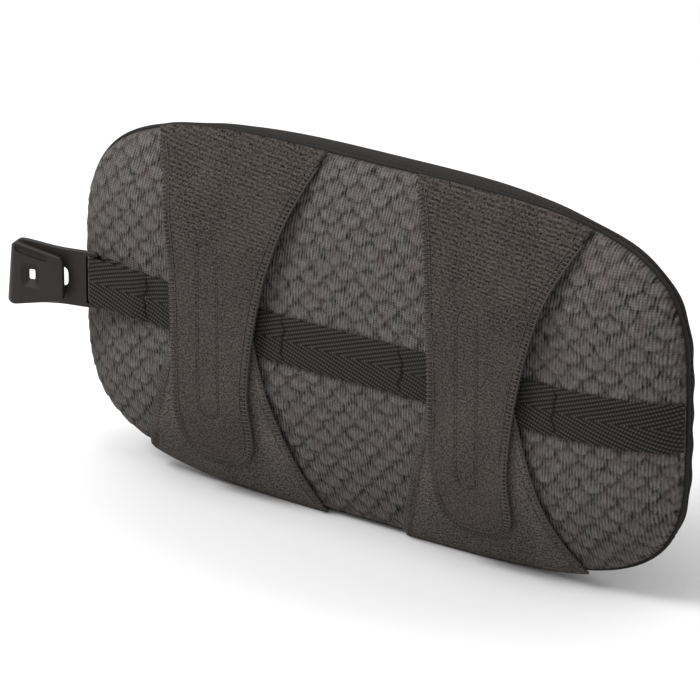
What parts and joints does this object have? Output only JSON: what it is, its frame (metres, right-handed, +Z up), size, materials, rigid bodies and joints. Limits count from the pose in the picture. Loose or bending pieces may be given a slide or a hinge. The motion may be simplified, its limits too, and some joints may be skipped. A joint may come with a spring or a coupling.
{
  "type": "lumbar support cushion",
  "caption": "Crowned lumbar cushion with hook tongues that close on loop flaps over a webbing strap with a moulded hook buckle.",
  "frame": {"origin": "middle of the strap's outer face at mid length of the pad, where the belt or chair back bears on it", "axes": "+X along the pad, away from the buckle; -Y out of the rear face, towards the chair; +Z up"},
  "size_m": [0.385, 0.0607, 0.1899],
  "materials": {
    "foam": "open-cell foam",
    "spacer_knit": "heathered spacer knit",
    "cover_cloth": "smooth stretch knit",
    "loop_cloth": "brushed loop",
    "hook_tape": "hook tape",
    "thread": "sewing thread",
    "webbing": "herringbone webbing",
    "moulding": "fine texture"
  },
  "bodies": {
    "pad": {"foam_core": "foam", "rear_panel": "spacer_knit", "front_cover": "cover_cloth", "seam_piping": "cover_cloth", "seam_topstitch": "thread", "webbing_strap": "webbing", "webbing_tack_thread": "thread"},
    "tongue_left": {"upper_flap_left": "loop_cloth", "upper_flap_edging_left": "thread", "hook_tape_left": "hook_tape", "hook_tape_thread_left": "thread"},
    "tongue_right": {"upper_flap_right": "loop_cloth", "upper_flap_edging_right": "thread", "hook_tape_right": "hook_tape", "hook_tape_thread_right": "thread"},
    "loop_left": {"lower_flap_left": "loop_cloth", "lower_flap_edging_left": "thread"},
    "loop_right": {"lower_flap_right": "loop_cloth", "lower_flap_edging_right": "thread"},
    "buckle": {"hook_buckle": "moulding"}
  },
  "joints": [
    {"name": "tongue_left_open", "type": "hinge", "parent": "pad", "child": "tongue_left", "pos_m": [-0.07966, 0.01992, 0.09457], "axis": [-0.9975, 0.0001, -0.0714], "range_deg": [0, 150]},
    {"name": "tongue_right_open", "type": "hinge", "parent": "pad", "child": "tongue_right", "pos_m": [0.07615, 0.01992, 0.09471], "axis": [-0.998, 0, 0.0632], "range_deg": [0, 150]},
    {"name": "loop_left_open", "type": "hinge", "parent": "pad", "child": "loop_left", "pos_m": [-0.08268, 0.01998, -0.09428], "axis": [0.9965, 0, -0.083], "range_deg": [0, 75]},
    {"name": "loop_right_open", "type": "hinge", "parent": "pad", "child": "loop_right", "pos_m": [0.07314, 0.01998, -0.09467], "axis": [0.9982, 0, 0.0597], "range_deg": [0, 75]},
    {"name": "buckle_swing", "type": "hinge", "parent": "pad", "child": "buckle", "pos_m": [-0.1595, 0.0018, 0.0045], "axis": [0, 0, 1], "range_deg": [-50, 100]}
  ],
  "couplings": [
    {"joint": "loop_left_open", "follows": "tongue_left_open", "ratio": 0.5},
    {"joint": "loop_right_open", "follows": "tongue_right_open", "ratio": 0.5}
  ]
}
